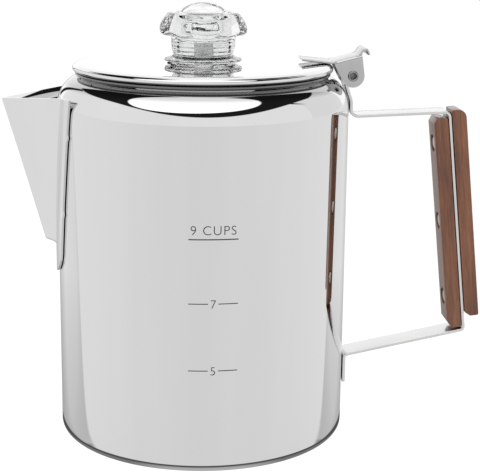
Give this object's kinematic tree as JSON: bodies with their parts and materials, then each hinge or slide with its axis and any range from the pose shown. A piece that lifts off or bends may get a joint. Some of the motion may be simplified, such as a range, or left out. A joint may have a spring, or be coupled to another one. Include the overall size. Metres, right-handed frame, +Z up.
{
  "type": "coffee percolator",
  "caption": "Stove-top coffee percolator: mirror-polished steel pot with folded spout, wood-gripped strap handle, hinged lid with glass knob, inner pump tube and basket.",
  "frame": {"origin": "on the pot's axis, in the plane of its base", "axes": "+Z up, +X towards the handle, -X towards the spout; the part is symmetric about the XZ plane apart from the graduation marks"},
  "size_m": [0.2178, 0.13, 0.1953],
  "materials": {
    "polished_steel": "mirror-polished stainless steel",
    "strap_steel": "polished stainless strip with sheared edges",
    "inner_steel": "plain bright stainless steel",
    "rivet_steel": "satin rivets",
    "grip_wood": "reddish brown hardwood, thin satin lacquer",
    "knob_glass": "clear pressed glass"
  },
  "bodies": {
    "pot": {"body_shell": "polished_steel", "spout": "polished_steel", "handle_strap": "strap_steel", "inner_grip": "grip_wood", "outer_grip": "grip_wood", "grip_rivet_top": "rivet_steel", "grip_rivet_middle": "rivet_steel", "grip_rivet_bottom": "rivet_steel"},
    "lid": {"lid_shell": "polished_steel", "lid_skirt_ring": "polished_steel", "hinge_bracket": "polished_steel", "hinge_pin": "rivet_steel"},
    "knob": {"glass_knob": "knob_glass"},
    "pump": {"pump_tube": "inner_steel", "pump_foot": "inner_steel", "basket_stop_ring": "inner_steel"},
    "basket": {"basket_cup": "inner_steel", "basket_sleeve": "inner_steel"},
    "spreader": {"basket_lid": "inner_steel"}
  },
  "joints": [
    {"name": "lid_hinge", "type": "hinge", "parent": "pot", "child": "lid", "pos_m": [0.0662, 0, 0.1632], "axis": [0, 1, 0], "range_deg": [0, 110]},
    {"name": "knob_twist", "type": "hinge", "parent": "lid", "child": "knob", "pos_m": [0, 0, 0.169], "axis": [0, 0, 1], "range_deg": [0, 60]},
    {"name": "pump_lift", "type": "slide", "parent": "pot", "child": "pump", "axis": [0, 0, 1], "range_m": [0, 0.003]},
    {"name": "basket_lift", "type": "slide", "parent": "pump", "child": "basket", "axis": [0, 0, 1], "range_m": [0, 0.004]},
    {"name": "spreader_lift", "type": "slide", "parent": "basket", "child": "spreader", "axis": [0, 0, 1], "range_m": [0, 0.003]}
  ]
}
